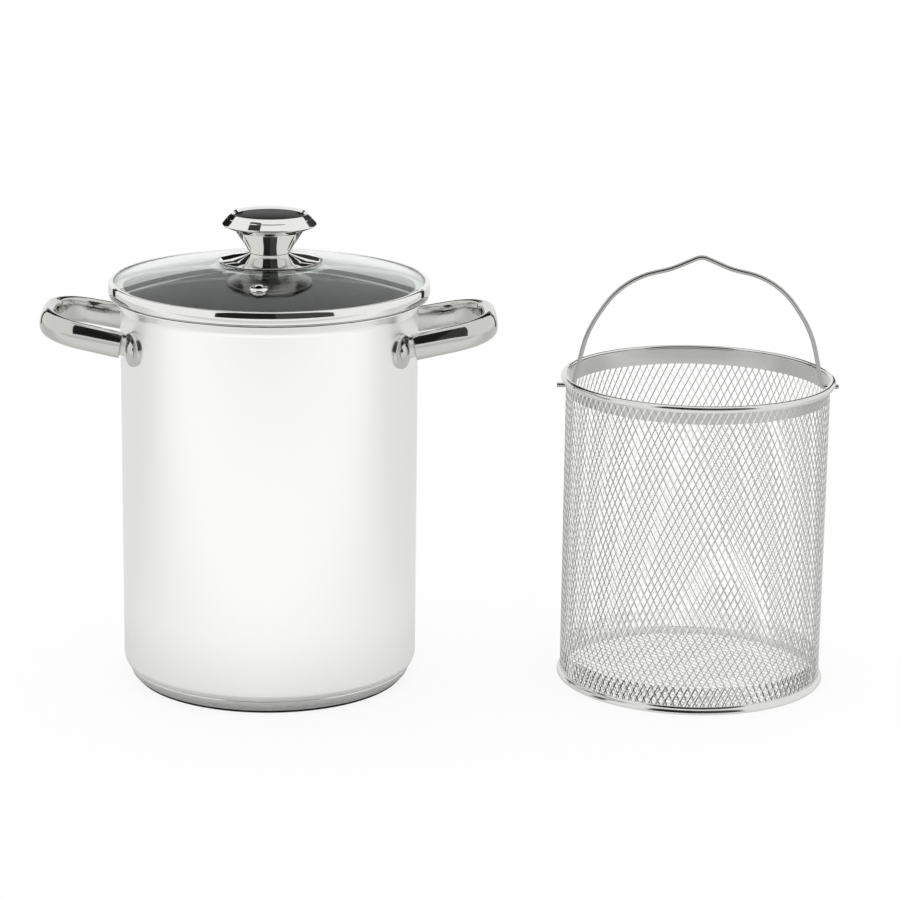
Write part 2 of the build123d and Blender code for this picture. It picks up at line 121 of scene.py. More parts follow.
def add_node(tree, kind, settings=None, values=None, links=None):
    """Adds one node with its settings, socket values and incoming links."""
    node = tree.nodes.new(kind)
    for name, value in (settings or {}).items():
        setattr(node, name, value)
    for name, value in (values or {}).items():
        node.inputs[name].default_value = value
    for name, socket in (links or {}).items():
        tree.links.new(socket, node.inputs[name])
    return node


def ramp(tree, socket, low, high, start=0.0, end=1.0):
    """Maps a value that runs from start to end on to low to high, and holds it beyond them."""
    node = add_node(tree, "ShaderNodeMapRange", links={"Value": socket},
                    values={"From Min": start, "From Max": end, "To Min": low, "To Max": high})
    return node.outputs["Result"]


def new_material(name):
    """A material with an empty node tree, and its output."""
    finish = bpy.data.materials.new(name)
    finish.use_nodes = True
    finish.node_tree.nodes.clear()
    return finish, finish.node_tree, add_node(finish.node_tree, "ShaderNodeOutputMaterial")


def steel(name, colour, roughness, spread=0.0, grain=(1, 1, 1), grain_scale=900.0, relief=0.0, anisotropy=0.0,
          matt=0.0):
    """Stainless steel: a metal whose roughness wanders along its polishing marks, with a share that scatters light."""
    finish, tree, output = new_material(name)
    coordinates = add_node(tree, "ShaderNodeTexCoord")
    mapping = add_node(tree, "ShaderNodeMapping", values={"Scale": grain},
                       links={"Vector": coordinates.outputs["Object"]})
    marks = add_node(tree, "ShaderNodeTexNoise", values={"Scale": grain_scale, "Detail": 3.0, "Roughness": 0.6},
                     links={"Vector": mapping.outputs["Vector"]})
    shader = add_node(tree, "ShaderNodeBsdfPrincipled",
                      values={"Base Color": (*colour, 1), "Metallic": 1 - matt, "Anisotropic": anisotropy},
                      links={"Roughness": ramp(tree, marks.outputs["Fac"], roughness - spread, roughness + spread)})
    if relief:
        bump = add_node(tree, "ShaderNodeBump", values={"Strength": 1.0, "Distance": relief},
                        links={"Height": marks.outputs["Fac"]})
        tree.links.new(bump.outputs["Normal"], shader.inputs["Normal"])
    if anisotropy:
        tangent = add_node(tree, "ShaderNodeTangent", settings={"direction_type": "RADIAL", "axis": "Z"})
        tree.links.new(tangent.outputs["Tangent"], shader.inputs["Tangent"])
    tree.links.new(shader.outputs["BSDF"], output.inputs["Surface"])
    return finish


def plain(name, colour, **values):
    """One Principled shader with values on its own sockets."""
    finish, tree, output = new_material(name)
    shader = add_node(tree, "ShaderNodeBsdfPrincipled", values={"Base Color": (*colour, 1), **values})
    tree.links.new(shader.outputs["BSDF"], output.inputs["Surface"])
    return finish


def satin_wall_steel():
    # Stainless sheet, satin polished on a lathe: fine marks run round the wall, and reflections blur up and down
    settings = bpy.context.scene.pot_settings
    return steel("satin_wall_steel", settings.steel_colour, 0.26, 0.01, grain=(1, 1, 40), grain_scale=90,
                 anisotropy=0.5)


def inside_steel_painted_shade():
    # The inside keeps coarser turning marks. Its darker grey is painted shade for the inside of the closed pot
    return steel("inside_steel_painted_shade", linear("#8F8E8B"), 0.36, 0.06, grain=(1, 1, 30), grain_scale=60,
                 relief=0.00004, anisotropy=0.4)


def mirror_steel():
    # Buffed stainless steel: nearly a mirror
    return steel("mirror_steel", linear("#E8E8E6"), 0.05, 0.02, grain_scale=260)


def buffed_bar_steel():
    # Bent bar, buffed by hand: a mirror that is greyer and a little wavy
    return steel("buffed_bar_steel", linear("#C8C8C5"), 0.08, 0.03, grain_scale=120)


def bore_painted_shade_steel():
    # Near-black steel for the vent's bore: painted shade for the dark hole down into the pot
    return steel("bore_painted_shade_steel", linear("#333331"), 0.5, 0.1, grain_scale=900)


def bright_sheet_steel():
    # Slit and stretched sheet, tumbled bright
    settings = bpy.context.scene.basket_settings
    return steel("bright_sheet_steel", settings.mesh_colour, 0.42, 0.06, grain_scale=700, matt=0.35)


def strand_painted_shade_steel():
    # A darker copy of the sheet's steel for the strands of the other lean: painted shade on that lean
    return steel("strand_painted_shade_steel", linear("#B4B4B2"), 0.42, 0.06, grain_scale=700, matt=0.3)


def skirt_painted_shade_steel():
    # The outer face of the floor's turned-up edge, dark grey: painted shade behind the mesh wall
    return steel("skirt_painted_shade_steel", linear("#5A5856"), 0.4, 0.08, grain_scale=700)


def drawn_wire_steel():
    # Rolled rings, tumbled bright
    return steel("drawn_wire_steel", linear("#DCDCDA"), 0.14, 0.04, grain_scale=500)


def rolled_strip_steel():
    # The flat strip inside the rim, greyer than the ring over it
    return steel("rolled_strip_steel", linear("#C0C0BE"), 0.2, 0.04, grain_scale=500)


def bail_wire_steel():
    # Hard drawn wire, greyer than the strip beside it
    return steel("bail_wire_steel", linear("#B0B0AE"), 0.2, 0.04, grain_scale=500)


def lid_glass_clear():
    # Tempered soda-lime glass
    return plain("lid_glass_clear", linear("#F6FAF8"), **{"Roughness": 0.0, "IOR": 1.5, "Transmission Weight": 1.0})


def inlay_lacquer():
    # A dark lacquered disc, nearly matt
    finish, tree, output = new_material("inlay_lacquer")
    settings = bpy.context.scene.pot_settings
    coordinates = add_node(tree, "ShaderNodeTexCoord")
    grain = add_node(tree, "ShaderNodeTexNoise", values={"Scale": 350.0, "Detail": 4.0},
                     links={"Vector": coordinates.outputs["Object"]})
    shader = add_node(tree, "ShaderNodeBsdfPrincipled",
                      values={"Base Color": (*settings.inlay_colour, 1), "IOR": 1.5, "Specular IOR Level": 0.004},
                      links={"Roughness": ramp(tree, grain.outputs["Fac"], 0.14, 0.24)})
    tree.links.new(shader.outputs["BSDF"], output.inputs["Surface"])
    return finish


def seal_silicone():
    # Moulded silicone: milky and matt
    return plain("seal_silicone", linear("#D6D4CE"), Roughness=0.55, IOR=1.41)


def core_aluminium():
    # The cast disc inside the base, never seen
    return plain("core_aluminium", linear("#C7C9CC"), Metallic=1.0, Roughness=0.5)


def material_from(maker):
    """The material that a maker gives, made once."""
    return bpy.data.materials.get(maker.__name__) or maker()


# Shapes


def rounded(bm, geom, reach, segments, affect="EDGES"):
    """Rounds edges or corners off; the reach is in millimetres."""
    bmesh.ops.bevel(bm, geom=geom, offset=reach * MM, offset_type="OFFSET", segments=segments, profile=0.5,
                    affect=affect, material=-1)


def turned(outline, steps=None, closed=True):
    """Spins an outline about the Z axis. A point is a radius, a height and, for a rounded corner, its reach."""
    steps = steps or bpy.context.scene.pot_settings.round_steps
    bm = bmesh.new()
    verts = [bm.verts.new((radius * MM, 0, height * MM)) for radius, height, *_ in outline]
    for pair in zip(verts, verts[1:]):
        bm.edges.new(pair)
    if closed:
        bm.edges.new((verts[-1], verts[0]))
    for vert, (_, _, *reach) in zip(verts, outline):
        if reach:
            segments = max(2, min(12, int(4 * (1 + reach[0] / 2))))  # more for a wider corner
            rounded(bm, [vert], reach[0], segments, "VERTICES")
    bmesh.ops.spin(bm, geom=bm.verts[:] + bm.edges[:], cent=(0, 0, 0), axis=UP, angle=2 * pi, steps=steps,
                   use_merge=True)
    bmesh.ops.remove_doubles(bm, verts=bm.verts[:], dist=1e-6)
    bmesh.ops.recalc_face_normals(bm, faces=bm.faces[:])
    return bm


def oval(half_width, half_height, power, count=32):
    """A closed section, from an ellipse at power 2 to a rounded rectangle above it."""
    points = []
    for step in range(count):
        angle = 2 * pi * (step + 0.5) / count
        across, along = cos(angle), sin(angle)
        scale = (abs(across) ** power + abs(along) ** power) ** (-1 / power)
        points.append((half_width * across * scale, half_height * along * scale))
    return points


def swept(section, corners, radii):
    """A bar of one section along straight runs and bends in the XY plane, closed at both ends."""
    bm = bmesh.new()
    corners = [Vector((x, y, 0)) * MM for x, y in corners]
    heading = (corners[1] - corners[0]).normalized()
    side = UP.cross(heading)
    ring = [bm.verts.new(corners[0] + side * across * MM + UP * high * MM) for across, high in section]
    bm.faces.new(ring)
    front = ring + list({edge for vert in ring for edge in vert.link_edges})
    here = corners[0]
    for corner, following, radius in zip(corners[1:], corners[2:] + [None], [*radii, 0]):
        ahead = (following - corner).normalized() if following else heading
        turn = atan2(heading.cross(ahead).z, heading.dot(ahead))
        reach = radius * MM * tan(abs(turn) / 2)
        run = corner - heading * reach - here
        front = bmesh.ops.spin(bm, geom=front, cent=here, axis=UP, dvec=run, angle=0, steps=1)["geom_last"]
        here = here + run
        if reach:
            centre = here + UP.cross(heading) * radius * MM * (1 if turn > 0 else -1)
            steps = max(2, ceil(abs(turn) / (pi / 2) * BEND_STEPS))
            front = bmesh.ops.spin(bm, geom=front, cent=centre, axis=UP, angle=turn, steps=steps)["geom_last"]
            here = corner + ahead * reach
        heading = ahead
    bmesh.ops.contextual_create(bm, geom=[item for item in front if isinstance(item, bmesh.types.BMEdge)])
    bmesh.ops.recalc_face_normals(bm, faces=bm.faces[:])
    return bm


def strut(bm, start, end, outward, width, depth, tilt):
    """One straight strand between two points, turned about its own length by the tilt, which picks its material."""
    along = end - start
    side = along.cross(outward).normalized()
    front = side.cross(along).normalized()
    across = side * cos(tilt) + front * sin(tilt)
    out = front * cos(tilt) - side * sin(tilt)
    matrix = Matrix((along * STRAND_OVERLAP, out * depth, across * width)).transposed().to_4x4()
    matrix.translation = (start + end) / 2
    for vert in bmesh.ops.create_cube(bm, size=1, matrix=matrix)["verts"]:
        # Strands with a positive tilt take the second material, a darker copy of the steel: painted shade on that lean
        for face in vert.link_faces:
            face.material_index = int(tilt > 0)


def placed(bm, *matrices):
    """Moves a bmesh by one matrix after the other."""
    for matrix in matrices:
        bmesh.ops.transform(bm, matrix=matrix, verts=bm.verts[:])
    return bm


def to_mesh(name, bm):
    """Moves a bmesh into mesh data of its own."""
    mesh = bpy.data.meshes.new(name)
    bm.to_mesh(mesh)
    bm.free()
    return mesh


def in_scene(name, data):
    """A new object in the scene, at the origin."""
    item = bpy.data.objects.new(name, data)
    bpy.context.scene.collection.objects.link(item)
    return item


def joined(*meshes):
    """One bmesh from several."""
    whole = bmesh.new()
    for bm in meshes:
        mesh = to_mesh("part", bm)
        whole.from_mesh(mesh)
        bpy.data.meshes.remove(mesh)
    return whole


def finished(name, bm, body, makers, nodes, smooth_angle=35):
    """Makes the piece's object, smooth up to an angle, and hides the CAD nodes that it takes the place of."""
    mesh = to_mesh(name, bm)
    for maker in makers:
        mesh.materials.append(material_from(maker))
    mesh.shade_smooth()
    mesh.set_sharp_from_angle(angle=radians(smooth_angle))
    piece = in_scene(name, mesh)
    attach(piece, body)
    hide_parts(*nodes)
    # The pot is a picture of its own in the photograph: its steel doesn't mirror the basket
    piece.visible_glossy = body not in ("basket", "bail")
    return piece


def dress(node, maker):
    """Gives a CAD node that stays in view its material."""
    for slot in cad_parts[node].material_slots:
        slot.material = material_from(maker)


# Pieces


class POT_OT_vessel(bpy.types.Operator):
    """Make the pot's shell and its base"""

    bl_idname = "pot.vessel"
    bl_label = "Vessel"

    def execute(self, context):
        shell = turned([
            (0, 6), (WALL_RADIUS, 6, 8), (WALL_RADIUS, 209.8, 1.4), (85.2, 215.0, 0.4), (86.7, 215.0, 0.25),
            (86.7, 215.5, 0.25), (85.1, 216), (84.8, 216, 0.3), (80.2, 210.1, 1.6), (80.2, 6.8, 7.2), (0, 6.8)],
            closed=False)
        # The inside is every face that looks at the axis, and the floor, which looks up below half the height. It
        # takes the darker steel, painted shade inside the pot
        axis_clearance, half_height = 20 * MM, 100 * MM
        for face in shell.faces:
            centre = face.calc_center_median()
            radial = Vector((centre.x, centre.y, 0))
            inward = radial.length > axis_clearance and face.normal.dot(radial.normalized()) < -0.1
            face.material_index = int(inward or (face.normal.z > 0.5 and centre.z < half_height))
        finished("pot_shell", shell, "pot", [satin_wall_steel, inside_steel_painted_shade], ["pot_body"])
        cap = turned([
            (0, 0), (73.3, 0, 1.2), (77.0, 4.05, 3), (78.65, 8.1, 0.5), (77.9, 8.1, 0.1), (76.4, 4.4, 3),
            (72.9, 0.6, 1), (0, 0.6)], closed=False)
        finished("base_cup", cap, "pot", [mirror_steel], ["base_cap"])
        dress("base_core", core_aluminium)
        return {"FINISHED"}


class POT_OT_handles(bpy.types.Operator):
    """Make the two loop handles with their ears and rivets"""

    bl_idname = "pot.handles"
    bl_label = "Handles"

    def execute(self, context):
        power = context.scene.pot_settings.handle_power
        # A loop is drawn flat, then rises outwards from its place at the wall
        rise = Matrix.Rotation(-radians(11.4), 4, "Y")
        place = Matrix.Translation(Vector((78.3, 0, 193.8)) * MM)
        half = [(0, 34.5), (30.8, 31.5), (42.5, 16.5)]
        corners = half + [(x, -y) for x, y in reversed(half)]
        loop = placed(swept(oval(4, 7.2, power), corners, [22, 26, 26, 22]), rise, place)
        # The sharp edges are those round its two ends
        ends = [edge for edge in loop.edges if len(edge.link_faces) == 2 and edge.calc_face_angle() > 1]
        rounded(loop, ends, 0.5, 3)
        parts = [loop]
        for side in (-1, 1):
            parts.append(self.tab(side, rise, place))
            parts.append(self.ear(side))
        handle = joined(*parts)
        mirrored = handle.copy()
        bmesh.ops.scale(mirrored, vec=(-1, 1, 1), verts=mirrored.verts[:])
        bmesh.ops.reverse_faces(mirrored, faces=mirrored.faces[:])
        finished("loop_handle_right", handle, "pot", [buffed_bar_steel], ["handle_right"])
        finished("loop_handle_left", mirrored, "pot", [buffed_bar_steel], ["handle_left"])
        rivets = joined(*[self.rivet(side + turn) for side in (0, 180) for turn in (-EAR_AZIMUTH, EAR_AZIMUTH)])
        finished("rivets", rivets, "pot", [buffed_bar_steel], ["handle_rivets"])
        return {"FINISHED"}

    @staticmethod
    def tab(side, rise, place):
        """The strap that runs on from an arm to its ear."""
        bm = bmesh.new()
        bmesh.ops.create_cube(bm, size=1)
        bmesh.ops.scale(bm, vec=Vector((8.6, 2.8, 11.6)) * MM, verts=bm.verts[:])
        bmesh.ops.translate(bm, vec=Vector((-2.3, side * 31.9, 0)) * MM, verts=bm.verts[:])
        rounded(bm, bm.edges[:], 0.8, 3)
        return placed(bm, rise, place)

    @staticmethod
    def ear(side):
        """A round plate bent to the pot's wall."""
        bm = bmesh.new()
        bmesh.ops.create_circle(bm, segments=56, radius=9.2 * MM, cap_ends=True)
        rim = bmesh.ops.extrude_face_region(bm, geom=bm.faces[:])["geom"]
        raised = [item for item in rim if isinstance(item, bmesh.types.BMVert)]
        bmesh.ops.translate(bm, vec=UP * 1.6 * MM, verts=raised)
        bmesh.ops.recalc_face_normals(bm, faces=bm.faces[:])
        top = max(bm.faces, key=lambda face: face.calc_center_median().z)
        rounded(bm, top.edges[:], 0.6, 4)
        # Rings inside the two round faces let them bend with the wall
        for reach in (1.5, 2, 2, 1.5):
            for face in [face for face in bm.faces if len(face.verts) > 4]:
                bmesh.ops.inset_individual(bm, faces=[face], thickness=reach * MM)
        seat = (WALL_RADIUS + 0.05) * MM
        for vert in bm.verts:
            turn = side * radians(EAR_AZIMUTH) + vert.co.x / seat
            radius = seat + vert.co.z
            vert.co = Vector((radius * cos(turn), radius * sin(turn), EAR_HEIGHT * MM + vert.co.y))
        bmesh.ops.recalc_face_normals(bm, faces=bm.faces[:])
        return bm

    @staticmethod
    def rivet(azimuth):
        """A domed head outside, and a spread tail inside."""
        bm = turned([
            (0, 3.95), (2.2, 3.6, 0.7), (3.9, 2.55, 0.8), (4.6, 1.65), (2.5, 1.65), (2.5, -1.05), (3.8, -1.05),
            (3.4, -1.7, 0.3), (2.5, -2.25, 0.4), (0, -2.35)], steps=32, closed=False)
        place = Matrix.Translation(Vector((WALL_RADIUS, 0, EAR_HEIGHT)) * MM)
        return placed(bm, Matrix.Rotation(pi / 2, 4, "Y"), place, Matrix.Rotation(radians(azimuth), 4, "Z"))


class POT_OT_lid(bpy.types.Operator):
    """Make the steel band, the glass and the steam vent"""

    bl_idname = "pot.lid"
    bl_label = "Lid"

    def execute(self, context):
        band = turned([
            (87.3, 216.6, 0.5), (87.3, 219.8, 1.2), (86.75, 223.0, 0.8), (85.9, 223.5, 0.6), (84.6, 223.5, 0.2),
            (84.6, 223.05), (86.1, 222.9), (86.7, 218.4),
            (78.6, 218.4, 0.3), (78.6, 211.5), (79.2, 211.5), (79.2, 216, 0.3), (84.6, 216, 0.2), (84.8, 216.6)])
        finished("lid_ring", band, "lid", [mirror_steel], ["lid_band"])
        thickness = context.scene.pot_settings.glass_thickness / MM
        # The dome runs in rings from the band's groove in to the bore
        outer, spacing, rings = 86.0, 4.625, 17
        dome = [(radius, self.glass_top(radius)) for radius in [outer - spacing * ring for ring in range(rings)]]
        under = [(radius, height - thickness) for radius, height in reversed(dome)]
        glass = turned([*dome, (3.2, GLASS_CROWN, 0.3), (3.2, GLASS_CROWN - thickness, 0.3), *under])
        pane = finished("glass_dome", glass, "lid", [lid_glass_clear], ["lid_glass"])
        # The vent stands square to the dome, at the front of the lid
        slope = atan2(self.glass_top(VENT_REACH - 1) - self.glass_top(VENT_REACH + 1), 2)
        seat = Vector((VENT_REACH, 0, self.glass_top(VENT_REACH))) * MM
        place = Matrix.Translation(seat) @ Matrix.Rotation(slope, 4, "Y")
        turn = Matrix.Rotation(radians(-93.9), 4, "Z")
        self.drill(pane, placed(turned([(0, -9), (3.5, -9), (3.5, 9), (0, 9)], steps=40, closed=False), place, turn))
        vent = turned([
            (4.85, 0.02), (4.85, 0.5, 0.2), (3.9, 1.3, 0.4), (2.9, 1.5, 0.4), (2.1, 1.2, 0.3), (1.9, 0.2), (1.9, -4.9),
            (3.2, -4.95, 0.2), (4.4, -4.2), (3.4, -4.15), (3.4, 0.02)], steps=48)
        bore_reach = 2.15 * MM
        # Faces inside the bore take the near-black steel, painted shade for the hole
        for face in vent.faces:
            face.material_index = int(all(hypot(*vert.co.xy) < bore_reach for vert in face.verts))
        makers = [mirror_steel, bore_painted_shade_steel]
        finished("vent_eyelet", placed(vent, place, turn), "lid", makers, ["steam_vent"])
        for name, bottom, radius, thick, slot, maker in (
                ("upper_seal", GLASS_CROWN, 10, 0.6, "seal", seal_silicone),
                ("lower_seal", 229.2, 10, 0.6, "seal", seal_silicone),
                ("knob_washer", 228.2, 9, 1, "polished_steel", mirror_steel)):
            ring = turned([(2.6, bottom), (radius, bottom, 0.25), (radius, bottom + thick, 0.25),
                           (2.6, bottom + thick)], steps=64)
            finished(f"{name}_ring", ring, "lid", [maker], [name])
        screw = turned([(0, 225.5), (3.4, 225.7, 0.6), (5, 226.8, 0.4), (5, 228.2), (2.5, 228.2), (2.5, 244, 0.5),
                        (0, 244)], steps=48, closed=False)
        self.cross_slot(screw)
        finished("pan_screw", screw, "lid", [mirror_steel], ["knob_screw"])
        return {"FINISHED"}

    @staticmethod
    def glass_top(radius):
        """The height of the dome at a radius: flat in the middle, then falling as a parabola."""
        edge, fall = 86.5, 11.4
        return GLASS_CROWN - fall * max(0, radius**2 - GLASS_FLAT**2) / (edge**2 - GLASS_FLAT**2)

    @staticmethod
    def drill(pane, cutter):
        """Cuts the vent's hole through the glass."""
        mesh = to_mesh("cutter", cutter)
        tool = in_scene("cutter", mesh)
        hole = pane.modifiers.new("Vent hole", "BOOLEAN")
        hole.object = tool
        hole.solver = "EXACT"
        bpy.context.view_layer.update()
        cut = bpy.data.meshes.new_from_object(pane.evaluated_get(bpy.context.evaluated_depsgraph_get()))
        pane.modifiers.clear()
        pane.data = cut
        cut.name = pane.name
        bpy.data.objects.remove(tool)
        bpy.data.meshes.remove(mesh)

    @staticmethod
    def cross_slot(screw):
        """Sinks a cross into the screw's head."""
        head_edge, slot_bottom, arm_length, half_arm = 0.2257, 0.2268, 2.6 * MM, 0.28
        for face in [face for face in screw.faces if face.calc_center_median().z < head_edge]:
            centre = face.calc_center_median()
            turn = atan2(centre.y, centre.x) % (pi / 2)
            if min(turn, pi / 2 - turn) < half_arm and hypot(centre.x, centre.y) < arm_length:
                for vert in face.verts:
                    vert.co.z = min(vert.co.z + 0.5 * MM, slot_bottom)


class POT_OT_knob(bpy.types.Operator):
    """Make the knob's base, grip and inlay"""

    bl_idname = "pot.knob"
    bl_label = "Knob"

    def execute(self, context):
        base = turned([
            (2.6, 234.4), (14, 234.4), (26.9, 233.85, 0.2), (27.4, 234.1, 0.1), (27.2, 234.4, 0.15), (19.5, 235.6, 2),
            (14.8, 236.6, 1.6), (12.2, 237.5, 1.2), (10.75, 238.35, 0.1), (10.3, 238.4), (2.6, 238.4)], steps=128)
        finished("knob_saucer", base, "lid", [mirror_steel], ["knob_base"])
        grip = turned([
            (2.6, 238.4), (10.3, 238.4), (10.8, 238.55, 0.15), (18.4, 250.4, 0.3), (19.1, 250.9, 0.3),
            (25.4, 253.6, 0.3), (25.8, 254.1, 0.25), (25.6, 254.5, 0.3), (23.03, 257.3), (22.94, 257.4),
            (22.9, 257.65, 0.12), (20.6, 260.0, 0.3), (20.3, 260.0, 0.15), (19.05, 258.6), (0, 258.6), (0, 244.4),
            (2.6, 244.4)], steps=128)
        finished("knob_grip_turned", grip, "lid", [mirror_steel], ["knob_grip"])
        disc = turned([(0, 258.6), (19.05, 258.6), (19.05, 258.7, 0.05), (0, 258.8)], steps=96, closed=False)
        finished("inlay_disc", disc, "lid", [inlay_lacquer], ["knob_inlay"])
        return {"FINISHED"}


class POT_OT_basket_frame(bpy.types.Operator):
    """Make the basket's rings, its rim band and the bail"""

    bl_idname = "pot.basket_frame"
    bl_label = "Basket Frame"

    def execute(self, context):
        aside = Matrix.Translation(BASKET_AXIS)
        rim = turned([(72.2, 168.0, 1.4), (75.2, 168.0, 1.5), (75.2, 171.8, 1.9), (72.2, 171.8, 1.05)])
        finished("rim_ring", placed(rim, aside), "basket", [drawn_wire_steel], ["basket_rim_ring"])
        foot = turned([(71.15, 0, 0.5), (74.2, 0, 0.7), (74.2, 1.3, 0.3), (73.6, 2.5, 0.3), (72.7, 3.2, 0.3),
                       (72.45, 4.1, 0.2), (71.15, 4.1, 0.3)])
        finished("foot_ring", placed(foot, aside), "basket", [drawn_wire_steel],
                 ["basket_foot_ring"])
        band = turned([(71.3, 161.5), (71.9, 161.5), (71.9, 170.4), (72.6, 170.6), (72.6, 171), (71.3, 170.6, 0.4)])
        finished("rim_strip", placed(band, aside), "basket", [rolled_strip_steel], ["basket_rim_band"])
        half = [(-77.5, 0), (-68.5, 0), (-61.6, 31), (-42.4, 59.4), (-16.5, 65.2)]
        corners = half + [(0, 72.4)] + [(-x, y) for x, y in reversed(half)]
        bends = [1.9, 60, 44, 40]
        wire = swept(oval(1.25, 1.25, 2, 16), corners, bends + [8] + bends[::-1])
        pivots = Matrix.Translation(BASKET_AXIS + UP * 165.5 * MM)
        finished("bail_wire", placed(wire, UPRIGHT, pivots), "bail", [bail_wire_steel],
                 ["basket_bail"], smooth_angle=50)
        return {"FINISHED"}


class POT_OT_basket_mesh(bpy.types.Operator):
    """Make the expanded mesh of the basket's wall and floor"""

    bl_idname = "pot.basket_mesh"
    bl_label = "Basket Mesh"

    def execute(self, context):
        settings = context.scene.basket_settings
        # The second steel is a darker copy that paints shade on one lean of the strands
        makers = [bright_sheet_steel, strand_painted_shade_steel]
        wall = self.wall(settings, radius=72.15, bottom=3.0, half_rows=2 * settings.rows, shift=0, tilt=30)
        finished("mesh_wall", wall, "basket", makers, ["basket_side_mesh"])
        turned_up = self.wall(settings, radius=70.7, bottom=1.9, half_rows=3, shift=0.35, tilt=-22)
        # Its outward faces, behind the mesh wall, take the third material: painted shade
        for face in turned_up.faces:
            outward = face.calc_center_median() - BASKET_AXIS
            face.material_index = 2 * int(face.normal.dot(outward) > 0)
        floor = joined(self.floor(settings, radius=70.6), turned_up)
        finished("mesh_floor", floor, "basket", [*makers, skirt_painted_shade_steel], ["basket_floor_mesh"])
        return {"FINISHED"}

    @staticmethod
    def wall(settings, radius, bottom, half_rows, shift, tilt):
        """Zigzag strands up from a height; two neighbours are built and then turned round the basket."""
        step = pi / settings.columns
        half_row = MESH_HEIGHT / settings.rows / 2
        pair = bmesh.new()
        for strand in range(2):
            for row in range(half_rows):
                ends = []
                for level in (row, row + 1):
                    azimuth = step * (shift + strand + (level + strand) % 2)
                    out = Vector((cos(azimuth), sin(azimuth), 0))
                    ends.append(out * radius * MM + UP * (bottom + half_row * level) * MM)
                middle = (ends[0] + ends[1]) / 2
                lean = 1 if ends[1].cross(ends[0]).z > 0 else -1
                strut(pair, ends[0], ends[1], Vector((middle.x, middle.y, 0)), settings.strand_width,
                      settings.strand_depth, lean * radians(tilt))
        mesh = to_mesh("pair", pair)
        whole = bmesh.new()
        turn = Matrix.Rotation(2 * step, 4, "Z")
        for _ in range(settings.columns):
            whole.from_mesh(mesh)
            mesh.transform(turn)
        bpy.data.meshes.remove(mesh)
        return placed(whole, Matrix.Translation(BASKET_AXIS))

    @staticmethod
    def floor(settings, radius):
        """Strands of the same diamonds, flat and trimmed to a circle, their long way across the basket."""
        half_row = MESH_HEIGHT / settings.rows / 2
        half_column = pi * 71.6 / settings.columns  # the wall's sheet, measured round its middle
        height, tilt = 2.1, radians(22)
        bm = bmesh.new()
        columns = int(radius / half_column) + 1
        rows = int(radius / half_row) + 1
        for column in range(-columns, columns):
            for row in range(-rows, rows):
                rising = (column + row) % 2 == 0
                start = Vector((column * half_column, (row if rising else row + 1) * half_row, height))
                end = Vector(((column + 1) * half_column, (row + 1 if rising else row) * half_row, height))
                if hypot(*start.xy) < radius and hypot(*end.xy) < radius:
                    strut(bm, start * MM, end * MM, UP, settings.strand_width, settings.strand_depth,
                          tilt if rising else -tilt)
        return placed(bm, Matrix.Rotation(radians(8), 4, "Z"), Matrix.Translation(BASKET_AXIS))


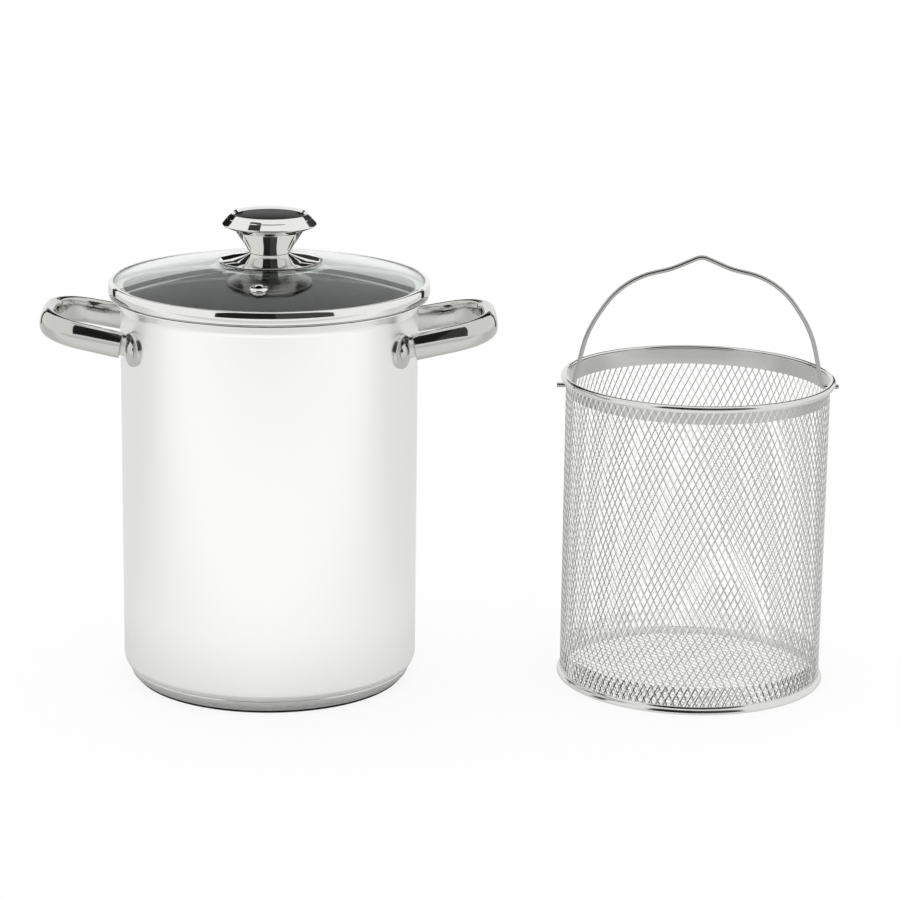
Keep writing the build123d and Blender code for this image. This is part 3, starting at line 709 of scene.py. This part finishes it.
class POT_OT_stage(bpy.types.Operator):
    """Make the floor, the light, the dark cards and the camera"""

    bl_idname = "pot.stage"
    bl_label = "Stage"

    def execute(self, context):
        self.camera(context)
        self.floor()
        self.world(context)
        # Dark cards give the polished steel its crisp dark lines. The last one lies flat over the lid
        for name, place, size, colour in CARDS:
            self.card(name, place, size, colour)
        self.card("card_over", (-143, -76, 556), (133, 46), "#2A2A2A", Matrix.Rotation(radians(150), 4, "Z"))
        # Reflections see the table shaded off round the pot, and darker under its foot
        self.table_shade()
        self.shade("shade_round_foot", 88, 0.1, "#D8D8D6")
        self.shade("shade_under_foot", 75, 0.2, "#343432")
        context.scene.view_settings.view_transform = "Standard"
        return {"FINISHED"}

    @staticmethod
    def camera(context):
        """The photograph's viewpoint, worked out from the rims and the foot of the pot and the basket."""
        pitch, yaw, roll = 0.2548, 0.0263, 0.013
        focal_length, photo_width = 3238, 901  # in pixels of the photograph
        forward = Vector((sin(yaw) * cos(pitch), cos(yaw) * cos(pitch), -sin(pitch)))
        level = forward.cross(UP).normalized()
        over = level.cross(forward)
        right = level * cos(roll) + over * sin(roll)
        up = over * cos(roll) - level * sin(roll)
        data = bpy.data.cameras.new("photo_camera")
        data.sensor_width = 36
        data.lens = focal_length / photo_width * data.sensor_width
        data.clip_end = 60
        camera = in_scene("photo_camera", data)
        camera.matrix_world = Matrix((right, up, -forward)).transposed().to_4x4()
        camera.location = Vector((54.07, -1727.2, 577.88)) * MM
        context.scene.camera = camera

    @staticmethod
    def floor():
        """A wide white floor. The camera, metal and glass see it glow, so that it is white and keeps its shadow."""
        bm = bmesh.new()
        bmesh.ops.create_circle(bm, segments=64, radius=20, cap_ends=True)
        mesh = to_mesh("floor", bm)
        finish, tree, output = new_material("floor_white")
        glow_share = 0.85  # the rest is paint, which takes the shadow
        paint = add_node(tree, "ShaderNodeBsdfDiffuse", values={"Color": (*linear("#FFFFFF"), 1)})
        rays = add_node(tree, "ShaderNodeLightPath")
        matt = add_node(tree, "ShaderNodeMath", settings={"operation": "MULTIPLY_ADD"},
                        links={0: rays.outputs["Is Diffuse Ray"]}, values={1: -glow_share, 2: glow_share})
        glow = add_node(tree, "ShaderNodeEmission", values={"Strength": 1.0})
        mix = add_node(tree, "ShaderNodeMixShader", links={"Fac": matt.outputs["Value"]})
        tree.links.new(paint.outputs["BSDF"], mix.inputs[1])
        tree.links.new(glow.outputs["Emission"], mix.inputs[2])
        tree.links.new(mix.outputs["Shader"], output.inputs["Surface"])
        mesh.materials.append(finish)
        floor = in_scene("floor", mesh)

    @staticmethod
    def world(context):
        """White all round, the same for every ray."""
        world = bpy.data.worlds.new("white_studio")
        world.use_nodes = True
        tree = world.node_tree
        tree.nodes.clear()
        output = add_node(tree, "ShaderNodeOutputWorld")
        background = add_node(tree, "ShaderNodeBackground", values={"Color": (1, 1, 1, 1), "Strength": 1.0})
        tree.links.new(background.outputs["Background"], output.inputs["Surface"])
        context.scene.world = world

    def card(self, name, place, size, colour, stand=UPRIGHT):
        """A dark card, upright unless told how to stand, that only reflections see."""
        bm = bmesh.new()
        bmesh.ops.create_grid(bm, x_segments=1, y_segments=1, size=0.5)
        bmesh.ops.scale(bm, vec=Vector((*size, 1)) * MM, verts=bm.verts[:])
        placed(bm, stand, Matrix.Translation(Vector(place) * MM))
        self.hidden(name, bm, plain(name, linear(colour), Roughness=1.0))

    def shade(self, name, radius, height, colour):
        """A disc of shade on the floor round the pot's foot, which only reflections see."""
        bm = bmesh.new()
        bmesh.ops.create_circle(bm, segments=64, radius=radius * MM, cap_ends=True)
        placed(bm, Matrix.Translation(UP * height * MM))
        self.hidden(name, bm, plain(name, linear(colour), Roughness=1.0))

    def table_shade(self):
        """A sheet of shade on the floor: near the pot, far in front of it and behind it. Only reflections see it."""
        bm = bmesh.new()
        bmesh.ops.create_grid(bm, x_segments=1, y_segments=1, size=2.5)
        placed(bm, Matrix.Translation(Vector((0, 0.6, 0.00005))))
        finish, tree, output = new_material("table_shade")
        coordinates = add_node(tree, "ShaderNodeTexCoord")
        place = add_node(tree, "ShaderNodeSeparateXYZ", links={"Vector": coordinates.outputs["Object"]})
        away = add_node(tree, "ShaderNodeVectorMath", settings={"operation": "LENGTH"},
                        links={"Vector": coordinates.outputs["Object"]})
        near = ramp(tree, away.outputs["Value"], 0.8, 1.0, start=0.08, end=0.18)
        front = ramp(tree, place.outputs["Y"], 0.76, 1.0, start=-0.92, end=-0.7)
        behind = ramp(tree, place.outputs["Y"], 1.0, 0.77, start=-0.25, end=0.08)
        ends = add_node(tree, "ShaderNodeMath", settings={"operation": "MULTIPLY"}, links={0: front, 1: behind})
        shade = add_node(tree, "ShaderNodeMath", settings={"operation": "MULTIPLY"},
                         links={0: ends.outputs["Value"], 1: near})
        glow = add_node(tree, "ShaderNodeEmission", links={"Strength": shade.outputs["Value"]})
        tree.links.new(glow.outputs["Emission"], output.inputs["Surface"])
        self.hidden("table_shade", bm, finish)

    @staticmethod
    def hidden(name, bm, finish):
        """Puts a sheet into the scene that only reflections see."""
        mesh = to_mesh(name, bm)
        mesh.materials.append(finish)
        card = in_scene(name, mesh)
        card.visible_camera = False
        card.visible_diffuse = False
        card.visible_transmission = False
        card.visible_shadow = False


class POT_PT_panel(bpy.types.Panel):
    """The sidebar panel that lists the pieces"""

    bl_idname = "POT_PT_panel"
    bl_label = "Asparagus Pot"
    bl_space_type = "VIEW_3D"
    bl_region_type = "UI"
    bl_category = "Asparagus Pot"

    def draw(self, context):
        for group in (context.scene.pot_settings, context.scene.basket_settings):
            for name in group.bl_rna.properties.keys():
                if name not in ("rna_type", "name"):
                    self.layout.prop(group, name)
        for operator in OPERATORS:
            self.layout.operator(operator.bl_idname)


GROUPS = (PotSettings, BasketSettings)
OPERATORS = (
    POT_OT_stage, POT_OT_vessel, POT_OT_handles, POT_OT_lid, POT_OT_knob, POT_OT_basket_frame, POT_OT_basket_mesh)


def register():
    for cls in (*GROUPS, *OPERATORS, POT_PT_panel):
        bpy.utils.register_class(cls)
    bpy.types.Scene.pot_settings = PointerProperty(type=PotSettings)
    bpy.types.Scene.basket_settings = PointerProperty(type=BasketSettings)


def unregister():
    del bpy.types.Scene.basket_settings
    del bpy.types.Scene.pot_settings
    for cls in reversed((*GROUPS, *OPERATORS, POT_PT_panel)):
        bpy.utils.unregister_class(cls)


def main():
    register()
    bpy.ops.pot.stage()
    bpy.ops.pot.vessel()
    bpy.ops.pot.handles()
    bpy.ops.pot.lid()
    bpy.ops.pot.knob()
    bpy.ops.pot.basket_frame()
    bpy.ops.pot.basket_mesh()


if __name__ == "__main__":
    main()
